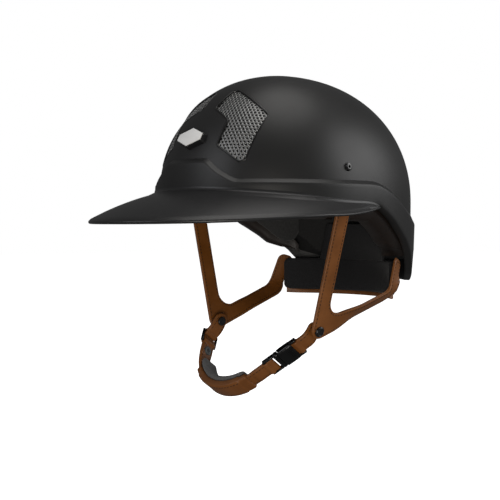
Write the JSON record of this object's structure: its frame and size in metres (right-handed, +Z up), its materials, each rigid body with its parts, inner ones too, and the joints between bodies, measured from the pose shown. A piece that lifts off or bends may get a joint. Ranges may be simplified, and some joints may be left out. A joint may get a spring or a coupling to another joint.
{
  "type": "riding helmet",
  "caption": "Riding helmet with a wide visor, side vents, leather cheek straps and a buckled chin strap with a padded cover.",
  "frame": {"origin": "middle of the head opening, level with the front of the visor's lower edge, where the wearer's head comes in", "axes": "+Z up, -Y forwards over the visor, +X to the wearer's left"},
  "size_m": [0.242, 0.3449, 0.3055],
  "materials": {
    "shell": "matt soft-touch black",
    "band": "matt soft-touch black",
    "visor": "satin black",
    "vent_edge": "moulded black",
    "grille": "perforated, satin",
    "badge_dark": "gloss black",
    "badge_light": "gloss white",
    "foam": "expanded polystyrene, black",
    "liner_fabric": "brushed grey fabric",
    "leather": "tan, stitched",
    "leather_dark": "dark brown",
    "hardware": "black acetal",
    "black_metal": "black lacquered",
    "nape_fabric": "black softshell",
    "chin_fabric": "grey padding",
    "webbing": "black webbing"
  },
  "bodies": {
    "helmet": {"badge_base": "badge_dark", "badge_plate": "badge_light", "comfort_liner": "liner_fabric", "crown_pad": "liner_fabric", "impact_liner": "foam", "left_anchor_nut": "black_metal", "left_anchor_screw": "black_metal", "left_anchor_tab": "webbing", "left_cheek_strap": "leather", "left_rear_tab": "webbing", "left_snap_cap": "black_metal", "left_snap_stud": "black_metal", "left_vent_frame": "vent_edge", "left_vent_grille": "grille", "lower_band": "band", "nape_hanger": "nape_fabric", "nape_pad": "nape_fabric", "nape_trim": "leather", "outer_shell": "shell", "right_anchor_nut": "black_metal", "right_anchor_screw": "black_metal", "right_anchor_tab": "webbing", "right_cheek_strap": "leather", "right_rear_tab": "webbing", "right_snap_cap": "black_metal", "right_snap_stud": "black_metal", "right_vent_frame": "vent_edge", "right_vent_grille": "grille", "rim_band": "leather_dark", "visor": "visor"},
    "chin_loop": {"left_stem": "leather", "buckle_socket": "hardware", "socket_face": "hardware", "socket_back": "hardware", "right_stem": "leather", "strap_ring": "hardware", "strap_end": "leather", "chin_strap": "leather", "lower_snap_cap": "black_metal", "lower_snap_ring": "black_metal"},
    "tongue": {"buckle_tongue": "hardware"},
    "upper_prong": {"upper_prong": "hardware"},
    "lower_prong": {"lower_prong": "hardware"},
    "cover": {"chin_cover": "leather", "chin_pad": "chin_fabric"}
  },
  "joints": [
    {"name": "chin_loop_swing", "type": "hinge", "parent": "helmet", "child": "chin_loop", "pos_m": [0, -0.017, -0.0995], "axis": [1, 0, 0], "range_deg": [-60, 50]},
    {"name": "buckle_pull", "type": "slide", "parent": "chin_loop", "child": "tongue", "axis": [-0.682, -0.4319, -0.5902], "range_m": [0, 0.013], "deforming": ["strap_end"]},
    {"name": "upper_prong_squeeze", "type": "hinge", "parent": "tongue", "child": "upper_prong", "pos_m": [0.04661, -0.03016, -0.12798], "axis": [0.7314, -0.4028, -0.5504], "range_deg": [0, 8], "stiffness_Nm_per_rad": 0.02},
    {"name": "lower_prong_squeeze", "type": "hinge", "parent": "tongue", "child": "lower_prong", "pos_m": [0.04661, -0.04017, -0.12066], "axis": [-0.7314, 0.4028, 0.5504], "range_deg": [0, 8], "stiffness_Nm_per_rad": 0.02},
    {"name": "chin_cover_slide", "type": "hinge", "parent": "chin_loop", "child": "cover", "pos_m": [-0.014, -0.02852, -0.11524], "axis": [0, 0.807, -0.5906], "range_deg": [-5, 5]}
  ]
}
